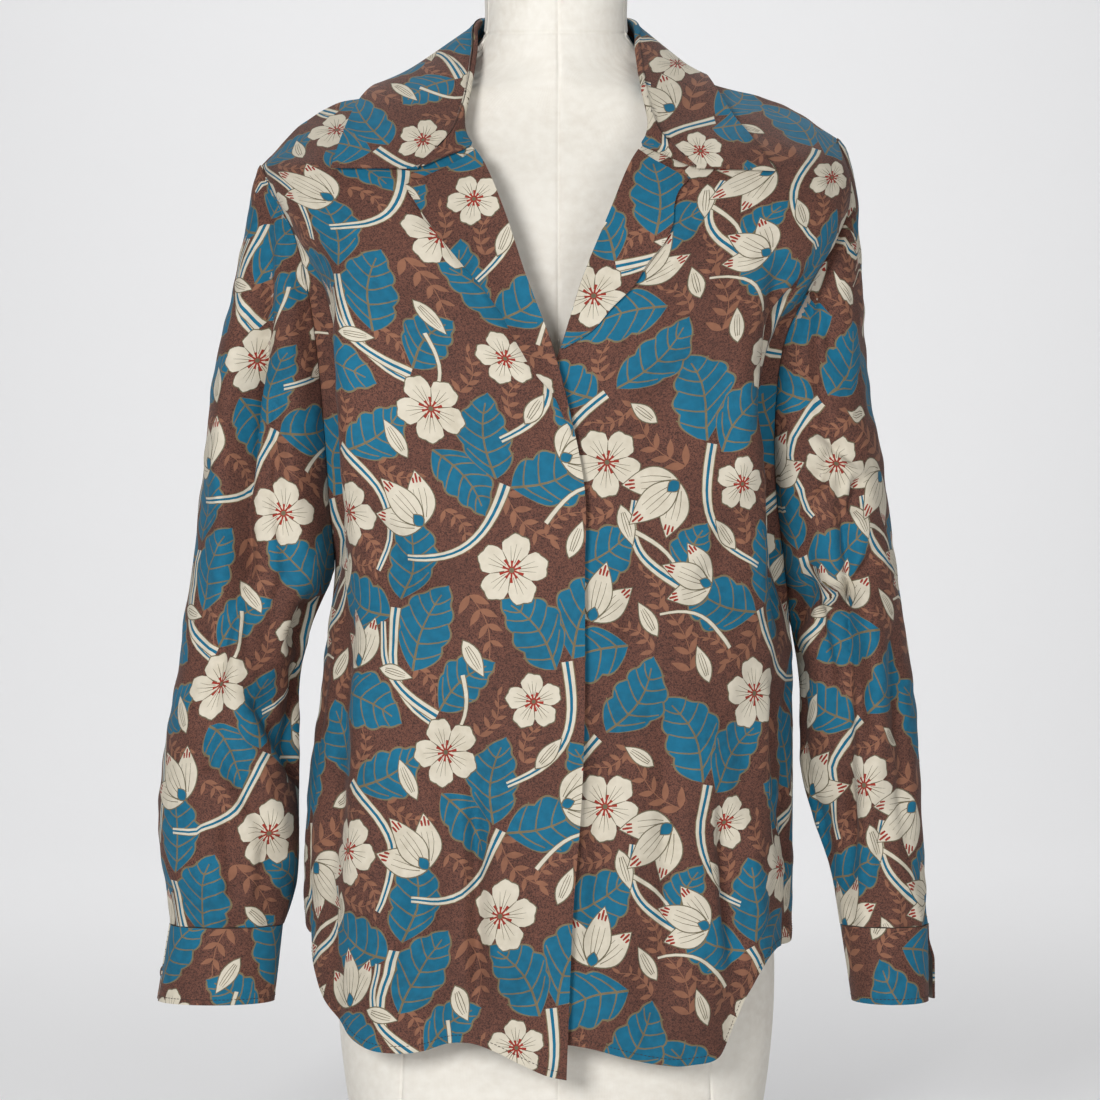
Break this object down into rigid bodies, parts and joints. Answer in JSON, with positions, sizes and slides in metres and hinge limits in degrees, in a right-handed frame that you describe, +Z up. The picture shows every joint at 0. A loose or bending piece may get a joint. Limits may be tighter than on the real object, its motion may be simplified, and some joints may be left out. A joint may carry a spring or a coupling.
{
  "type": "blouse on dress form",
  "caption": "Long-sleeved loose blouse with a notched convertible collar, hidden front closure and shirt-tail hem, worn on a limbless dress form that stands on its flat base.",
  "frame": {"origin": "centre of the form's flat base, on the surface that it stands on", "axes": "+Z up along the form, -Y out of the blouse's front, +X towards the wearer's left"},
  "size_m": [0.5894, 0.2879, 0.912],
  "materials": {
    "print_cloth": "smooth light woven cloth with a printed leaf and blossom design, matte with a slight sheen",
    "linen_cover": "plain pale linen stretched over the form, matte",
    "button_brown": "plain dark brown button, satin"
  },
  "bodies": {
    "root": {"back": "print_cloth", "collar": "print_cloth", "cuff_button_left": "button_brown", "cuff_button_right": "button_brown", "cuff_left": "print_cloth", "cuff_right": "print_cloth", "dress_form": "linen_cover", "fly_button_1": "button_brown", "fly_button_2": "button_brown", "fly_button_3": "button_brown", "fly_button_4": "button_brown", "fly_button_5": "button_brown", "fly_strip": "print_cloth", "front_left": "print_cloth", "front_right": "print_cloth", "lapel_left": "print_cloth", "lapel_right": "print_cloth", "sleeve_left": "print_cloth", "sleeve_right": "print_cloth"}
  },
  "joints": []
}
